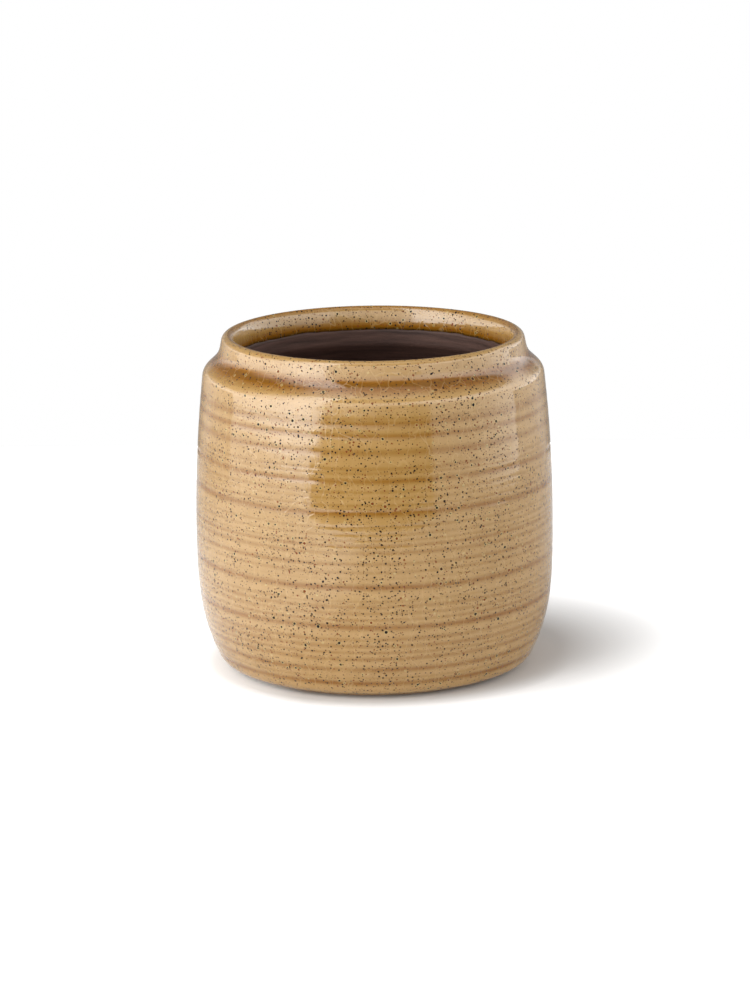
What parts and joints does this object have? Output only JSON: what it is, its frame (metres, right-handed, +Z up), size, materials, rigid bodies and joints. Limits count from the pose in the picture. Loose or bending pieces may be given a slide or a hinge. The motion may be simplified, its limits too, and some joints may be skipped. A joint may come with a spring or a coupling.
{
  "type": "flower pot",
  "caption": "Round glazed stoneware flower pot with throwing rings on its wall, a sloped shoulder, a short neck with a rounded lip, and a dark brown sealed inside.",
  "frame": {"origin": "centre of the foot ring, on the surface that the pot stands on", "axes": "+Z up along the pot's axis, out of its mouth"},
  "size_m": [0.15, 0.15, 0.1405],
  "materials": {
    "stoneware": "fired, unglazed and slightly rough",
    "glaze": "glossy, speckled, darker where it pools",
    "coat": "matt brushed slip"
  },
  "bodies": {
    "root": {"stoneware_body": "stoneware", "outer_glaze": "glaze", "inner_coat": "coat"}
  },
  "joints": []
}
